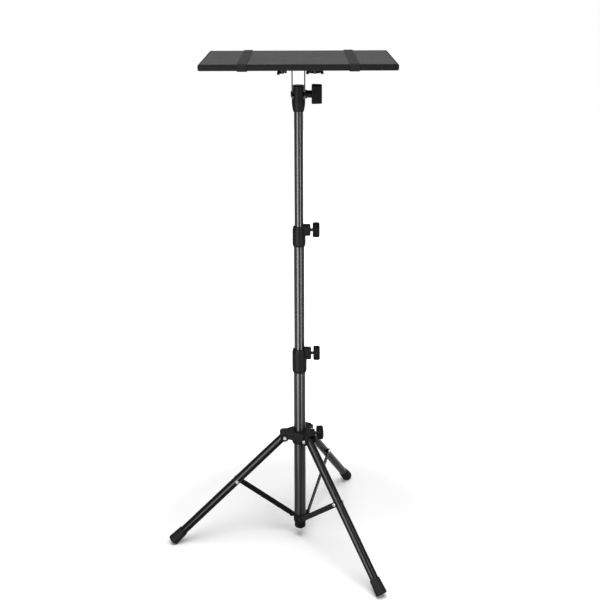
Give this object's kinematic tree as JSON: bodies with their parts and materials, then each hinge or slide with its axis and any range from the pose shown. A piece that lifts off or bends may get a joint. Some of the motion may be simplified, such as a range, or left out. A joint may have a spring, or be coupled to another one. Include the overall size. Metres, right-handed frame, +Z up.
{
  "type": "portable projector stand",
  "caption": "Folding tripod stand with telescoping tubes, clamp knobs and a tilting, strapped tray for a projector.",
  "frame": {"origin": "on the floor, under the axis of the column", "axes": "+Z up the column, X along the tray's width, the tray's front towards -Y"},
  "size_m": [0.5214, 0.5613, 1.1686],
  "materials": {
    "tube_paint": "semi-gloss",
    "strut_paint": "satin",
    "moulded_nylon": "satin",
    "knob_plastic": "satin",
    "foot_rubber": "matte",
    "rivet_steel": "bright",
    "bolt_steel": "satin",
    "wing_black": "satin",
    "tray_laminate": "satin",
    "strap_webbing": "matte"
  },
  "bodies": {
    "column": {"lower_tube": "tube_paint", "base_collar": "moulded_nylon", "strut_pins": "strut_paint", "end_plug": "moulded_nylon", "low_collar": "moulded_nylon"},
    "low_clamp": {"low_knob": "knob_plastic", "low_screw": "bolt_steel"},
    "hub": {"leg_hub": "moulded_nylon", "hub_rivets": "rivet_steel"},
    "hub_clamp": {"hub_knob": "knob_plastic", "hub_screw": "bolt_steel"},
    "middle": {"middle_tube": "tube_paint", "high_collar": "moulded_nylon"},
    "high_clamp": {"high_knob": "knob_plastic", "high_screw": "bolt_steel"},
    "top": {"top_tube": "tube_paint"},
    "head": {"head": "moulded_nylon"},
    "tray": {"tray_board": "tray_laminate", "tilt_bracket": "strut_paint", "tilt_bolt": "bolt_steel", "tray_bolts": "bolt_steel", "wing_nut_left": "wing_black", "wing_nut_right": "wing_black", "strap_left": "strap_webbing", "strap_right": "strap_webbing"},
    "tilt_clamp": {"tilt_knob": "knob_plastic"},
    "leg_left": {"leg_tube_left": "tube_paint", "leg_foot_left": "foot_rubber", "leg_rivet_left": "rivet_steel"},
    "strut_left": {"strut_bar_left": "strut_paint", "strut_rivet_left": "rivet_steel"},
    "leg_front": {"leg_tube_front": "tube_paint", "leg_foot_front": "foot_rubber", "leg_rivet_front": "rivet_steel"},
    "strut_front": {"strut_bar_front": "strut_paint", "strut_rivet_front": "rivet_steel"},
    "leg_rear": {"leg_tube_rear": "tube_paint", "leg_foot_rear": "foot_rubber", "leg_rivet_rear": "rivet_steel"},
    "strut_rear": {"strut_bar_rear": "strut_paint", "strut_rivet_rear": "rivet_steel"}
  },
  "joints": [
    {"name": "hub_slide", "type": "slide", "parent": "column", "child": "hub", "axis": [0, 0, 1], "range_m": [0, 0.1129]},
    {"name": "leg_left_fold", "type": "hinge", "parent": "hub", "child": "leg_left", "pos_m": [-0.03732, -0.00372, 0.27942], "axis": [0.0993, -0.9951, 0], "range_deg": [0, 45.61]},
    {"name": "strut_left_fold", "type": "hinge", "parent": "column", "child": "strut_left", "pos_m": [-0.0199, -0.00199, 0.05942], "axis": [-0.0993, 0.9951, 0], "range_deg": [0, 45.79]},
    {"name": "leg_front_fold", "type": "hinge", "parent": "hub", "child": "leg_front", "pos_m": [0.02188, -0.03045, 0.27942], "axis": [0.8121, 0.5835, 0], "range_deg": [0, 45.61]},
    {"name": "strut_front_fold", "type": "hinge", "parent": "column", "child": "strut_front", "pos_m": [0.01167, -0.01624, 0.05942], "axis": [-0.8121, -0.5835, 0], "range_deg": [0, 45.79]},
    {"name": "leg_rear_fold", "type": "hinge", "parent": "hub", "child": "leg_rear", "pos_m": [0.01543, 0.03418, 0.27942], "axis": [-0.9114, 0.4115, 0], "range_deg": [0, 45.61]},
    {"name": "strut_rear_fold", "type": "hinge", "parent": "column", "child": "strut_rear", "pos_m": [0.00823, 0.01823, 0.05942], "axis": [0.9114, -0.4115, 0], "range_deg": [0, 45.79]},
    {"name": "middle_slide", "type": "slide", "parent": "column", "child": "middle", "axis": [0, 0, -1], "range_m": [0, 0.233]},
    {"name": "top_slide", "type": "slide", "parent": "middle", "child": "top", "axis": [0, 0, -1], "range_m": [0, 0.241]},
    {"name": "tray_pan", "type": "hinge", "parent": "top", "child": "head", "pos_m": [0, 0, 1.05242], "axis": [0, 0, 1], "continuous": true},
    {"name": "tray_tilt", "type": "hinge", "parent": "head", "child": "tray", "pos_m": [0, 0, 1.08942], "axis": [1, 0, 0], "range_deg": [-90, 90]},
    {"name": "low_knob_turn", "type": "hinge", "parent": "column", "child": "low_clamp", "pos_m": [0.0323, 0, 0.49191], "axis": [1, 0, 0], "continuous": true},
    {"name": "high_knob_turn", "type": "hinge", "parent": "middle", "child": "high_clamp", "pos_m": [0.0306, 0, 0.78892], "axis": [1, 0, 0], "continuous": true},
    {"name": "hub_knob_turn", "type": "hinge", "parent": "hub", "child": "hub_clamp", "pos_m": [0.0406, 0.00405, 0.28341], "axis": [0.9951, 0.0993, 0], "continuous": true},
    {"name": "tilt_knob_turn", "type": "hinge", "parent": "tray", "child": "tilt_clamp", "pos_m": [0.02, 0, 1.08942], "axis": [1, 0, 0], "continuous": true}
  ],
  "couplings": [
    {"joint": "leg_left_fold", "follows": "hub_slide", "rad_per_m": 7.0495},
    {"joint": "strut_left_fold", "follows": "hub_slide", "rad_per_m": 7.0768},
    {"joint": "leg_front_fold", "follows": "hub_slide", "rad_per_m": 7.0495},
    {"joint": "strut_front_fold", "follows": "hub_slide", "rad_per_m": 7.0768},
    {"joint": "leg_rear_fold", "follows": "hub_slide", "rad_per_m": 7.0495},
    {"joint": "strut_rear_fold", "follows": "hub_slide", "rad_per_m": 7.0768}
  ]
}
